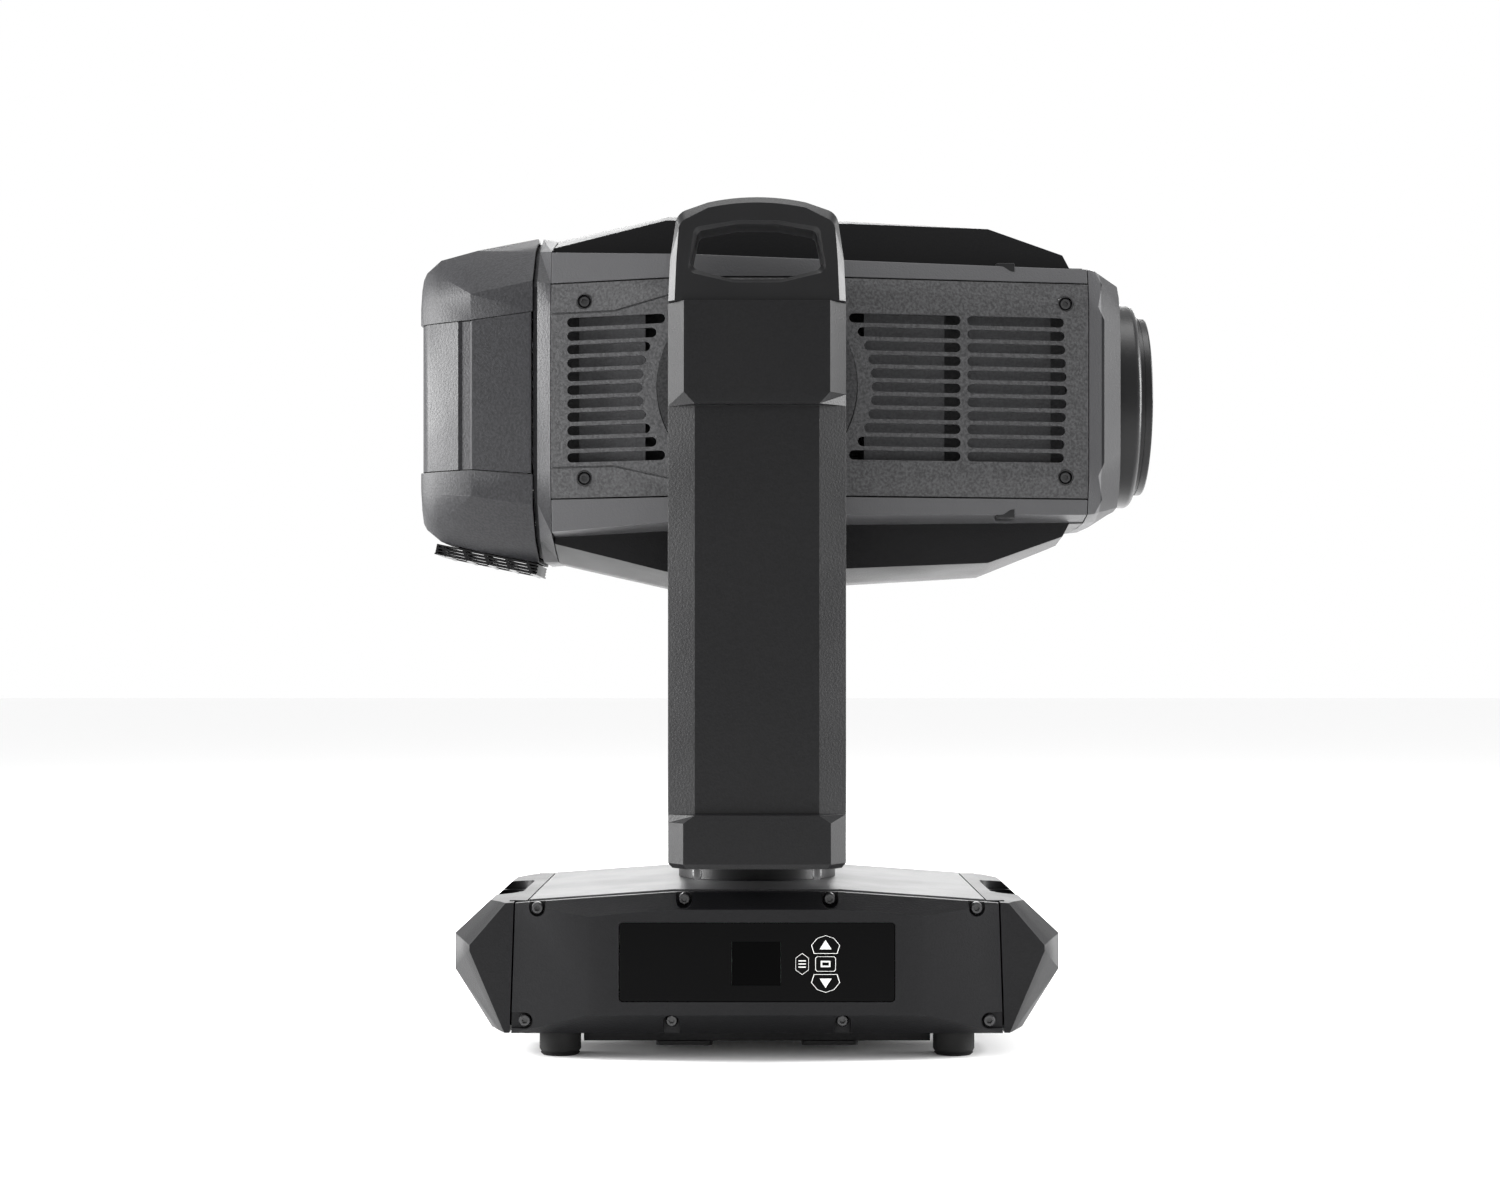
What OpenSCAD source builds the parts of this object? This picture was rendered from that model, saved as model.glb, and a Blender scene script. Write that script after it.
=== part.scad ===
// Moving head light: a base, a yoke that pans on it, and a head that tilts between the yoke's arms.
// The origin is on the floor, on the pan axis. +X is the way the lens looks, +Z is up.

/* [Head] */
// Height of the tilt axis above the floor
tilt_z = 480; // [478:1:490]
// Half width of the head at its widest
head_half_w = 152; // [148:1:153]
// Rows of vent slots in each side cover
vent_rows = 11; // [3:2:11]
// Height of a vent slot
vent_h = 6.9; // [4:0.1:7.5]
// Radius of the wide ring of the lens barrel
barrel_r = 78; // [74:1:78]
// Radius of the narrow ring of the lens barrel
nose_r = 68.2; // [64:0.2:68.2]

/* [Yoke] */
// Half width of a yoke arm
arm_half_w = 62; // [60:1:64]
// Distance from the pan axis to the inner face of an arm
arm_inner_y = 158.5; // [158:0.5:160]
// Distance from the pan axis to the outer face of an arm at its middle
arm_face_y = 212; // [208:1:214]
// Height of the top of an arm, under its handle
arm_top_z = 532; // [528:1:536]

/* [Base] */
// Half length of the base's long panels at the bottom
panel_half_x = 176; // [176:1:176]
// Distance from the pan axis to the flat face of a long panel
panel_face_y = 166; // [164:1:168]
// Width of the control window
window_w = 195; // [190:1:200]
// Height of the control window
window_h = 55.5; // [50:0.5:58]
// Spacing of the clamp bracket sockets along the base
bracket_x = 106; // [106:1:106]
// Spacing of the clamp bracket sockets across the base
bracket_y = 200; // [190:1:200]

/* [Drive] */
// Teeth on each motor pulley
motor_teeth = 20; // [16:1:24]
// Teeth on the fixed pan pulley
pan_teeth = 72; // [72:1:72]
// Teeth on the tilt pulley
tilt_teeth = 80; // [80:1:80]
// Travel of a control key
key_travel = 0.8; // [0.4:0.1:0.9]

/* [Hidden] */
$fn = 64;

gap = 0.3;      // clear space between neighbouring parts
wall = 3;       // thickness of a moulded cover
running = 0.05; // radial clearance of a shaft in its bearing

charcoal = [0.22, 0.22, 0.23];
graphite = [0.30, 0.30, 0.31];
jet = [0.06, 0.06, 0.07];
rubber = [0.05, 0.05, 0.05];
steel = [0.62, 0.63, 0.65];
aluminium = [0.75, 0.76, 0.78];
board_green = [0.05, 0.25, 0.14];

// ---- Helpers ----

// A solid through rings of equal point count. Rings run along an axis, and each ring is
// counter-clockwise seen from the far end of that axis.
module loft(rings) {
    n = len(rings[0]);
    last = len(rings) - 1;
    sides = [for (i = [0 : last - 1], j = [0 : n - 1])
        let (a = i * n + j, b = i * n + (j + 1) % n, c = a + n, d = b + n)
        each [[a, c, d], [a, d, b]]];
    first_cap = [[for (j = [0 : n - 1]) j]];
    last_cap = [[for (j = [n - 1 : -1 : 0]) last * n + j]];
    polyhedron([for (r = rings, p = r) p], concat(sides, first_cap, last_cap), convexity = 6);
}

// A list of points in the other order
function flip(points) = [for (i = [len(points) - 1 : -1 : 0]) points[i]];

// Outline points mirrored in their first coordinate, in the other order
function mirrored(points) = [for (p = flip(points)) [-p[0], p[1]]];

// Children and their mirror images in Y or in Z
module both_y() { children(); mirror([0, 1, 0]) children(); }
module both_z() { children(); mirror([0, 0, 1]) children(); }

// Puts children at the tilt axis
module at_tilt() { translate([0, 0, tilt_z]) children(); }

// A flat shape drawn in X and Z, from y0 to y1
module plate_y(y0, y1) {
    translate([0, y1, 0]) rotate([90, 0, 0]) linear_extrude(y1 - y0) children();
}

// A cylinder along each axis between two places
module rod_x(r, x0, x1) { translate([x0, 0, 0]) rotate([0, 90, 0]) cylinder(r = r, h = x1 - x0); }
module rod_y(r, y0, y1) { translate([0, y0, 0]) rotate([-90, 0, 0]) cylinder(r = r, h = y1 - y0); }
module rod_z(r, z0, z1) { translate([0, 0, z0]) cylinder(r = r, h = z1 - z0); }

// A box between two corners
module box(a, b) { translate(a) cube(b - a); }

// A long hole with round ends, from x0 to x1
module stadium(x0, x1, h) {
    translate([x0 + h / 2, -h / 2]) square([x1 - x0 - h, h]);
    translate([x0 + h / 2, 0]) circle(h / 2);
    translate([x1 - h / 2, 0]) circle(h / 2);
}

// A rectangle with round corners about the origin
module round_rect(w, h, r) {
    square([w - 2 * r, h], center = true);
    square([w, h - 2 * r], center = true);
    for (x = [-1, 1], y = [-1, 1]) translate([x * (w / 2 - r), y * (h / 2 - r)]) circle(r);
}

// A cap screw along +Z: its head on a seat at z 0, with a hexagon socket
module cap_screw(head_r, head_h, shank_r, shank_l) {
    difference() {
        union() {
            cylinder(r1 = head_r, r2 = head_r, h = head_h * 0.7);
            translate([0, 0, head_h * 0.7]) cylinder(r1 = head_r, r2 = head_r * 0.8, h = head_h * 0.3);
            if (shank_l > 0) translate([0, 0, -shank_l]) cylinder(r = shank_r, h = shank_l + 0.1);
        }
        translate([0, 0, head_h * 0.4]) cylinder(r = head_r * 0.5, h = head_h, $fn = 6);
    }
}

// The outline of a toothed pulley
module toothed(teeth, tip_r) {
    root_r = tip_r - 1.2;
    step = 360 / teeth;
    polygon([for (i = [0 : teeth - 1], q = [[-0.28, root_r], [-0.2, tip_r], [0.2, tip_r], [0.28, root_r]])
        q[1] * [cos((i + q[0]) * step), sin((i + q[0]) * step)]]);
}

// A toothed pulley with flanges, along +Z
module pulley(teeth, tip_r, h, bore_r) {
    difference() {
        union() {
            linear_extrude(h) toothed(teeth, tip_r);
            cylinder(r = tip_r + 1.4, h = 1);
            translate([0, 0, h - 1]) cylinder(r = tip_r + 1.4, h = 1);
        }
        translate([0, 0, -1]) cylinder(r = bore_r, h = h + 2);
    }
}

// The outline of a belt round a circle at the origin and a circle at distance d along +X
module belt_outline(r0, r1, d, grow) {
    a = acos((r0 - r1) / d);
    turns = 36;
    polygon(concat(
        [for (i = [0 : turns]) let (t = a + i * (360 - 2 * a) / turns) (r0 + grow) * [cos(t), sin(t)]],
        [for (i = [0 : turns]) let (t = -a + i * 2 * a / turns) [d + (r1 + grow) * cos(t), (r1 + grow) * sin(t)]]));
}

// ---- Head outline ----

head_w = [[-151, head_half_w - 36], [-50, head_half_w], [50, head_half_w], [242, head_half_w - 36]];
crease_z = [[-151, 56], [-103, 56], [-50, 68], [50, 69], [242, 62]];
rail_z = [[-151, 102], [-50, 95.5], [50, 91.5], [242, 89.5]];
ledge_z = [[-151, 104.5], [-50, 99], [50, 95.5], [242, 93.5]];
hump_wall_z = [[-151, 109], [-67, 130], [68, 127.5], [171, 123.5], [226, 104], [231, 94.6], [242, 94.3]];
hump_top_z = [[-151, 121], [-67, 140], [68, 136.5], [171, 130.5], [226, 108.5], [231, 97], [242, 96]];
seam_z = 78.3;
hump_y = 80;
hump_flat_y = 35;
cover_x0 = -149.7;
cover_x1 = 240.7;
cover_stations = [cover_x0, -103, -50, 50, cover_x1];
hump_stations = [cover_x0, -103, -67, -50, 50, 68, 171, 226, 231, cover_x1];
screw_places = [[-125, 64], [-125, -64], [224, 63], [224, -63]];
hub_r = 71.3;

// The thin section of the near side cover at x, with its two flanges
function side_ring(x) =
    let (w = lookup(x, head_w), c = lookup(x, crease_z), z = seam_z - 0.5, t = wall)
    [for (p = [[w - 4.5, -z], [w - 18, -z], [w - 18, t - z], [w - 7.5, t - z], [w - t, 1 - c], [w - t, c - 1],
        [w - 7.5, z - t], [w - 18, z - t], [w - 18, z], [w - 4.5, z], [w, c], [w, -c]]) [x, -p[0], p[1]]];

// A plate that follows the side cover, from depth near to depth far behind its face
function liner_ring(x, near, far, z) =
    let (w = lookup(x, head_w))
    [for (p = [[w - near, -z], [w - far, -z], [w - far, z], [w - near, z]]) [x, -p[0], p[1]]];

// Half of the top cover's outer or inner line at x, from the seam up to the hump's flat
function hump_line(x, t) =
    let (w = lookup(x, head_w))
    [[w - 4.5 - t, seam_z + 0.5], [w - 9 - t, lookup(x, rail_z) - t], [hump_y - t, lookup(x, ledge_z) - t * 0.9],
        [hump_y - t, lookup(x, hump_wall_z) - t * 0.5], [hump_flat_y - t * 0.4, lookup(x, hump_top_z) - t]];

function top_ring(x) = let (out = hump_line(x, 0), in = hump_line(x, wall))
    [for (p = concat(out, mirrored(out), [for (q = in) [-q[0], q[1]]], flip(in))) [x, p[0], p[1]]];

// ---- Head parts ----

module vent_slots() {
    pitch = 9.8;
    mid = (vent_rows - 1) / 2;
    arc_r = 82;
    for (i = [0 : vent_rows - 1]) {
        z = (i - mid) * pitch;
        end_x = sqrt(arc_r * arc_r - z * z);
        translate([0, z]) {
            stadium(-137.5, -end_x, vent_h);
            stadium(end_x, 146.5, vent_h);
            stadium(151.5, 225 - abs(i - mid) * 0.5, vent_h);
        }
    }
}

// The groove along the rear creases of a side cover
module crease_groove() {
    for (s = [-1, 1]) {
        polygon([[-152, s * 55.2], [-103, s * 55.2], [-58, s * 66], [-58, s * 67.4], [-103, s * 56.6], [-152, s * 56.6]]);
    }
}

module side_cover() {
    color(graphite) difference() {
        loft([for (x = cover_stations) side_ring(x)]);
        plate_y(-170, -90) vent_slots();
        rod_y(hub_r + 0.7, -170, -90);
        for (p = screw_places) translate([p[0], 0, p[1]]) rod_y(5.8, -170, -90);
        intersection() {
            plate_y(-170, -90) crease_groove();
            loft([liner_ring(-150.9, -3, 1.4, 80), liner_ring(-52, -3, 1.4, 80)]);
        }
    }
}

module side_cover_near() { at_tilt() side_cover(); }
module side_cover_far() { at_tilt() mirror([0, 1, 0]) side_cover(); }

module head_cap_cover() { color(charcoal) loft([for (x = hump_stations) top_ring(x)]); }
module head_top_cover() { at_tilt() head_cap_cover(); }
module head_bottom_cover() { at_tilt() mirror([0, 0, 1]) head_cap_cover(); }

// The casting inside the head: liner plates behind the vents, two decks, bulkheads and guide rails
rail_r = 4;
rail_y = 66;
module head_frame() {
    color(charcoal) at_tilt() {
        both_y() {
            for (span = [[-129.5, -80.5], [77, 135.5], [152, 214]])
                loft([for (x = span) liner_ring(x, 11, 15, 57)]);
            for (x = [-92, 92]) box([x - 4, 100, -60], [x + 4, lookup(x, head_w) - 15.3, 60]);
            box([-140, 96, -62], [226, 99.7, 62]);
        }
        both_z() difference() {
            box([-149, -99.7, 62.3], [240, 99.7, 65.3]);
            for (x = [-110, -20, 70, 160]) box([x, -60, 60], [x + 60, 60, 70]);
        }
        for (x = [-24, 236]) difference() {
            box([x, -95.7, -62], [x + 4, 95.7, 62]);
            rod_x(52, x - 1, x + 5);
            for (s = [-1, 1]) translate([0, s * rail_y, 0]) rod_x(rail_r, x - 1, x + 5);
        }
        for (s = [-1, 1]) translate([0, s * rail_y, 0]) rod_x(rail_r, -24, 240);
    }
}

// ---- Head rear ----

// Half outlines of the rear of the head: side, crease, shoulder and top, at stations along X
rear_stations = [
    [-164, [[104.5, 59.5], [104.5, 82], [76, 107.5], [44, 122]]],
    [-211, [[88, 55.2], [88, 74.5], [67, 98.5], [44, 113]]],
    [-238, [[68, 55.2], [68, 72], [58, 92.5], [42, 106]]],
    [-249, [[57, 55.2], [57, 70], [50, 86], [38, 97]]],
    [-252, [[52, 55.2], [52, 68], [45, 82], [34, 92]]]];

// A closed section of the rear cap: t is how far it is drawn in, and drop how far its lower edge is let down
function cap_ring(s, t, drop, x) =
    let (q = s[1], half = [[q[0][0] - t, q[0][1] - drop], [q[1][0] - t, q[1][1] - t * 0.4],
        [q[2][0] - t * 0.8, q[2][1] - t * 0.9], [q[3][0] - t * 0.4, q[3][1] - t]])
    [for (p = concat(half, mirrored(half))) [x, p[0], p[1]]];

function cap_rings(t, drop, end_x) =
    [for (i = [len(rear_stations) - 1 : -1 : 0])
        let (s = rear_stations[i])
        if (s[0] >= end_x) cap_ring(s, t, drop, i == 0 && t > 0 ? s[0] + 1 : s[0])];

module rear_cap_solid() { loft(cap_rings(0, 0, -260)); }

module rear_cap_shell() {
    difference() {
        rear_cap_solid();
        loft(cap_rings(wall, 2, -249));
    }
}

module rear_cap_top() { color(graphite) at_tilt() rear_cap_shell(); }

// Puts children on the sloping underside of the lower rear cap, with +X running down it to the front
module on_underside() { translate([-238, 0, -107.6]) rotate([0, 11.6, 0]) children(); }

intake_x = [5, 68];
module rear_cap_bottom() {
    color(graphite) at_tilt() difference() {
        mirror([0, 0, 1]) rear_cap_shell();
        on_underside() box([intake_x[0], -34, -10], [intake_x[1], 34, 10]);
    }
}

slat_pitch = 2.3;
slats = 3;

// Plan of the grille, drawn in by t
module grille_plan(t) {
    polygon([[t - 4, 39 - t], [75 - t, 45.5 - t], [75 - t, t - 45.5], [t - 4, t - 39]]);
}

module intake_grille() {
    color(jet) at_tilt() on_underside() {
        for (i = [0 : slats]) translate([0, 0, -1.5 - i * slat_pitch]) linear_extrude(1.1) difference() {
            grille_plan(i == slats ? 0 : 0.4);
            translate([intake_x[0], -30]) square([intake_x[1] - intake_x[0], 60]);
        }
        for (x = [3 : 16.5 : 70]) translate([x, 0, -4.9]) rotate([0, -30, 0])
            box([-1, -39 - x / 12, -4.3], [1, 39 + x / 12, 4.3]);
        for (x = [-3.6, 73]) box([x, -38.4, -8.3], [x + 1.8, 38.4, -0.5]);
    }
}

collar_back = [[106.5, 57], [105.5, 81], [79, 107], [44, 121.5]];
collar_front = [[115, 57], [110.5, 79], [104, 103], [36, 121]];

// Closed ring of half outline q at x, drawn in by t
function collar_ring(q, t, x) =
    let (half = [for (p = q) [p[0] - t, p[1] - t * 0.8]], right = concat([for (p = flip(half)) [p[0], -p[1]]], half))
    [for (p = concat(right, [for (p = flip(right)) [-p[0], p[1]]])) [x, p[0], p[1]]];

// Plan of the panel between the two rear caps
rear_plan = [[-165, 98], [-165, 105.5], [-167, 105], [-210, 89], [-211.5, 85.5], [-218, 81.5], [-221, 81.5],
    [-244, 63], [-248, 58], [-250.5, 50]];

module rear_housing() {
    color(charcoal) at_tilt() {
        difference() {
            loft([collar_ring(collar_back, 0, -160.5), collar_ring(collar_front, 0, -150.3)]);
            loft([collar_ring(collar_back, 4, -161.5), collar_ring(collar_front, 4, -149)]);
        }
        difference() {
            loft([collar_ring(collar_back, 4.5, -163.7), collar_ring(collar_back, 3.6, -160)]);
            loft([collar_ring(collar_back, 8, -164), collar_ring(collar_back, 8, -159)]);
        }
    }
    color(graphite) at_tilt() {
        intersection() {
            linear_extrude(130, center = true) difference() {
                polygon(concat(rear_plan, [for (p = flip(rear_plan)) [p[0], -p[1]]]));
                polygon([[-160, 95], [-208, 79], [-240, 58], [-246, 46], [-246, -46], [-240, -58], [-208, -79], [-160, -95]]);
            }
            plate_y(-120, 120) polygon([[-163.8, 59], [-211, 54.7], [-260, 54.7], [-260, -54.7], [-211, -54.7], [-163.8, -59]]);
        }
    }
}

// ---- Head front ----

bezel_rings = [
    [[115.5, 52, 241.3], [115.5, 62, 241.3], [111, 77.5, 241.3], [106.5, 89.5, 241.3], [80, 94, 241.3], [35, 96, 241.3]],
    [[113, 52, 253], [114, 61.5, 248.5], [107, 78.5, 252], [104, 88.5, 247], [78, 93, 249], [35, 95, 250]],
    [[92, 42, 267.5], [90, 56, 267.5], [82, 72, 267.5], [71, 82, 267.5], [50, 84, 267.5], [25, 84, 267.5]]];

function bezel_ring(q, t, dx) =
    let (half = [for (p = q) [p[0] - t, p[1] - t, p[2] + dx]], lower = [for (p = flip(half)) [p[0], -p[1], p[2]]],
        right = concat(lower, half))
    concat([for (p = right) [p[2], p[0], p[1]]], [for (p = flip(right)) [p[2], -p[0], p[1]]]);

module front_bezel() {
    color(charcoal) at_tilt() difference() {
        loft([for (q = bezel_rings) bezel_ring(q, 0, 0)]);
        loft([bezel_ring(bezel_rings[0], 4, -1), bezel_ring(bezel_rings[1], 4, -4), bezel_ring(bezel_rings[2], 3.4, -4)]);
        rod_x(barrel_r + gap, 230, 280);
    }
}

// Half profile of the lens barrel: [radius, x]
module lens_barrel() {
    round_r = 5;
    color(jet) at_tilt() rotate([0, 90, 0]) rotate_extrude() difference() {
        union() {
            translate([60, 254]) square([barrel_r - 60, 281 - 254]);
            translate([60, 281]) square([barrel_r - round_r - 60, round_r]);
            translate([barrel_r - round_r, 281]) intersection() {
                circle(round_r);
                square(round_r);
            }
            translate([60, 286]) square([nose_r - 60, 7.5]);
            translate([60, 293.5]) square([nose_r - 61.5, 1.5]);
            translate([nose_r - 1.5, 293.5]) intersection() {
                circle(1.5);
                square(1.5);
            }
            translate([52, 254]) square([9, 3]);
        }
        translate([nose_r - 0.6, 289]) square([2, 0.7]);
        polygon([[59, 290], [60, 290], [64, 296], [59, 296]]);
    }
}

module front_lens() {
    lens_r = 59.7;
    sag = 7;
    curve_r = (lens_r * lens_r + sag * sag) / (2 * sag);
    color([0.55, 0.6, 0.75, 0.35]) at_tilt() rotate([0, 90, 0]) rotate_extrude() intersection() {
        translate([0, 291 - curve_r]) circle(curve_r, $fn = 180);
        translate([0, 276]) square([lens_r, 20]);
    }
}

module head_screws() {
    color(jet) at_tilt() both_y() for (p = screw_places)
        let (w = lookup(p[0], head_w), seat = -w + 6.5)
        translate([p[0], seat, p[1]]) rotate([90, 0, 0]) {
            difference() {
                translate([0, 0, -1.5]) cylinder(r = 5.5, h = 7);
                cylinder(r = 4.9, h = 8);
            }
            cap_screw(4.4, 4.2, 2, 4);
        }
}

// ---- Tilt drive ----

lock_r = 50;
lock_pin_r = 3;
tube_r = 24;
bearing_r = 34;
hub_face_y = arm_inner_y - 3;
module tilt_hubs() {
    color(graphite) at_tilt() both_y() difference() {
        union() {
            rod_y(hub_r, 130, hub_face_y);
            rod_y(tube_r, hub_face_y - 1, 206);
            rod_y(30, 118, 131);
        }
        rod_y(17, 110, 210);
        for (a = [-90 : 20 : 250]) rotate([0, a, 0]) translate([lock_r, 0, 0]) rod_y(lock_pin_r + 0.3, 148, 160);
        rod_y(62, 127, 136);
    }
}

module tilt_pulley() {
    color(aluminium) at_tilt() translate([0, -192, 0]) rotate([90, 0, 0]) pulley(tilt_teeth, 40, 12, tube_r + 0.02);
}

tilt_motor_z = 300;
module tilt_motor() {
    color(jet) translate([0, -165, tilt_motor_z]) rotate([90, 0, 0]) difference() {
        union() {
            linear_extrude(24) round_rect(56, 56, 5);
            cylinder(r = 19, h = 25.5);
        }
        translate([0, 0, 4]) cylinder(r = 3 + running, h = 30);
    }
}

module tilt_motor_pulley() {
    color(aluminium) translate([0, -192, tilt_motor_z]) rotate([90, 0, 0]) {
        pulley(motor_teeth, 10, 12, 3);
        translate([0, 0, -20]) cylinder(r = 3, h = 33);
    }
}

module belt_ring(r0, r1, d, h) {
    linear_extrude(h) difference() {
        belt_outline(r0, r1, d, 1.8);
        belt_outline(r0, r1, d, 0.3);
    }
}

module tilt_belt() {
    color(rubber) at_tilt() translate([0, -193.4, 0]) rotate([90, 0, 0]) rotate([0, 0, -90])
        belt_ring(40, 10, tilt_z - tilt_motor_z, 9.2);
}

module tilt_bearings() {
    color(steel) at_tilt() both_y() difference() {
        rod_y(bearing_r, arm_inner_y + 0.5, arm_inner_y + 12);
        rod_y(tube_r + running, arm_inner_y - 1, arm_inner_y + 14);
        difference() {
            rod_y(31, arm_inner_y + 10.5, arm_inner_y + 13);
            rod_y(27, arm_inner_y, arm_inner_y + 14);
        }
    }
}

// ---- Optics ----

fan_x = -204;

module heat_sink() {
    color(aluminium) at_tilt() {
        box([-172, -52, -52], [-166, 52, 52]);
        for (y = [-50 : 8 : 50]) box([-236, y - 1, -50], [-172, y + 1, 50]);
        for (z = [-30, 0, 30]) translate([-200 - z / 3, 0, z]) rod_y(3, -52, 52);
        translate([fan_x, 0, -90]) {
            difference() {
                cylinder(r = 41, h = 18);
                translate([0, 0, -1]) cylinder(r = 37, h = 20);
            }
            for (a = [30 : 120 : 270]) rotate([0, 0, a]) box([0, -2, 18.6], [40, 2, 21.6]);
            translate([0, 0, 18.6]) cylinder(r = 13, h = 3);
            for (a = [30 : 120 : 270]) rotate([0, 0, a]) box([37.5, -3, 10], [40.5, 3, 21.6]);
            for (x = [-26, 26], y = [-30, 30]) translate([x, y, 17]) cylinder(r = 2.5, h = 24);
        }
    }
}

module led_engine() {
    color([0.78, 0.55, 0.32]) at_tilt() {
        difference() {
            rod_x(40, -165.7, -160);
            for (a = [45 : 90 : 315]) rotate([a, 0, 0]) translate([0, 34, 0]) rod_x(2, -167, -158);
        }
        box([-160, -14, -14], [-158, 14, 14]);
        for (a = [0 : 60 : 300]) rotate([a, 0, 0]) translate([0, 8, 0]) rod_x(2.6, -158, -156.5);
        difference() {
            rod_x(30, -160, -132);
            rod_x(26, -162, -128);
        }
        rod_x(25.9, -140, -133);
    }
}

module fan_rotor() {
    color(jet) at_tilt() translate([fan_x, 0, -92]) {
        difference() {
            cylinder(r = 15, h = 20);
            translate([0, 0, 17]) cylinder(r = 13, h = 4);
        }
        for (a = [0 : 360 / 7 : 350]) rotate([0, 0, a]) translate([24.5, 0, 10]) rotate([32, 0, 0]) cube([21, 24, 1.6], center = true);
    }
}

wheel_x = -98;
wheel_z = -34;
module gobo_wheel() {
    pitch_r = 34;
    color(steel) at_tilt() translate([wheel_x, 0, wheel_z]) {
        difference() {
            rod_x(50, -1, 1);
            for (a = [0 : 60 : 300]) rotate([a, 0, 0]) translate([0, 0, pitch_r]) rod_x(12.5, -3, 3);
        }
        for (a = [60 : 60 : 300]) rotate([a, 0, 0]) translate([0, 0, pitch_r]) difference() {
            rod_x(12.5, -2.5, 2.5);
            rod_x(11, -3, -1);
            for (b = [0 : 45 : 315]) rotate([b, 0, 0]) translate([0, 0, 6]) rod_x(1.4 + b / 200, -4, 4);
        }
        rod_x(8, -12, 6);
    }
}

// A carriage that slides on the guide rails and holds a lens
module carriage(x0, lens_r, lens_t) {
    color(charcoal) at_tilt() {
        difference() {
            union() {
                box([x0, -78, -14], [x0 + 4, 78, 14]);
                rod_x(lens_r + 5, x0, x0 + 10);
                for (s = [-1, 1]) translate([0, s * rail_y, 0]) rod_x(9, x0 - 4, x0 + 14);
            }
            rod_x(lens_r - 2, x0 - 1, x0 + 11);
            for (s = [-1, 1]) translate([0, s * rail_y, 0]) rod_x(rail_r + running, x0 - 5, x0 + 15);
        }
        translate([x0 + 5, 0, 0]) rotate([0, 90, 0]) rotate_extrude() polygon(concat([[0, -lens_t / 2]],
            [for (a = [0 : 15 : 90]) [(lens_r - 1.9) * sin(a), -lens_t / 2 * cos(a) - 0.6]],
            [for (a = [90 : -15 : 0]) [(lens_r - 1.9) * sin(a), lens_t / 2 * cos(a) + 0.6]]));
    }
}

focus_x = 30;
zoom_x = 130;
module focus_carriage() { carriage(focus_x, 38, 10); }
module zoom_carriage() { carriage(zoom_x, 46, 12); }

// ---- Yoke ----

// Stations up an arm cover: [z, half width, chamfer start, half width of the face, face distance]
chamfer_y = 200;
arm_stations = [
    [139.3, 59, 198, 49, arm_face_y + 2], [142.8, 62, chamfer_y, 51, arm_face_y + 5.5],
    [171, 62, chamfer_y, 51, arm_face_y + 5.5], [176.6, 62, chamfer_y, 43, arm_face_y + 5.5],
    [177, 62, chamfer_y, 43, arm_face_y], [460.3, 62, chamfer_y, 43, arm_face_y],
    [460.7, 62, chamfer_y, 43, arm_face_y + 7.5], [468.8, 62, chamfer_y, 50.5, arm_face_y + 8],
    [arm_top_z, 62, chamfer_y, 50.5, arm_face_y + 6.5]];

function arm_ring(s, t, back, z) =
    let (a = s[1] - 62 + arm_half_w - t, b = s[3] - t * 0.4)
    [[-a, -back, z], [-a, t / 2 - s[2], z], [-b, t - s[4], z], [b, t - s[4], z], [a, t / 2 - s[2], z], [a, -back, z]];

cover_back_y = arm_inner_y + 6.3;
module arm_cover() {
    last = len(arm_stations) - 1;
    color(graphite) difference() {
        loft([for (s = arm_stations) arm_ring(s, 0, cover_back_y, s[0])]);
        loft([for (i = [0 : last]) let (s = arm_stations[i])
            arm_ring(s, wall, cover_back_y - 2, i == 0 ? 142.3 : i == 1 ? 142.9 : i == last ? s[0] - wall : s[0])]);
    }
}

module arm_cover_near() { arm_cover(); }
lock_z = tilt_z - lock_r;
module arm_cover_far() {
    color(graphite) difference() {
        mirror([0, 1, 0]) arm_cover();
        translate([0, 0, lock_z]) rod_y(5.4, 200, 230);
    }
}

// The outline of a carrying handle, drawn in by t
module handle_outline(t) {
    top = 596 - arm_top_z - t;
    hull() {
        for (s = [-1, 1]) {
            translate([s * (arm_half_w - 1 - t), 0.5]) circle(0.5, $fn = 16);
            translate([s * (arm_half_w - 5.5 - 11), top - 11]) circle(11 - t * 0.5, $fn = 32);
            translate([s * (arm_half_w - 2.2 - t), 28]) circle(0.5, $fn = 16);
        }
        translate([0, 604.3 - arm_top_z - t - 160]) intersection() {
            circle(160, $fn = 180);
            translate([-34, 140]) square([68, 30]);
        }
    }
}

// The hand opening of a handle
module handle_opening(grow) {
    hull() for (s = [-1, 1]) {
        translate([s * (41.5 + grow - 5), 49 + grow - 5]) circle(5, $fn = 24);
        translate([s * (45 + grow - 6), 21 - grow + 6]) circle(6, $fn = 24);
        translate([s * 14, 53 + grow - 5]) circle(5, $fn = 24);
        translate([s * 16, 15 - grow + 5]) circle(5, $fn = 24);
    }
}

handle_y0 = 178;
handle_y1 = 214;
module handle() {
    color(jet) translate([0, 0, arm_top_z + gap]) difference() {
        union() {
            plate_y(-handle_y1 + 5, -handle_y0) handle_outline(0);
            hull() {
                plate_y(-handle_y1 + 5, -handle_y1 + 5.1) handle_outline(0);
                plate_y(-handle_y1, -handle_y1 + 0.1) handle_outline(4.5);
            }
        }
        plate_y(-handle_y1 - 1, -handle_y0 + 1) handle_opening(0);
        hull() {
            plate_y(-handle_y1 - 0.1, -handle_y1) handle_opening(2.5);
            plate_y(-handle_y1 + 2.5, -handle_y1 + 2.6) handle_opening(0);
        }
    }
}

module handle_near() { handle(); }
module handle_far() { mirror([0, 1, 0]) handle(); }

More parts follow.
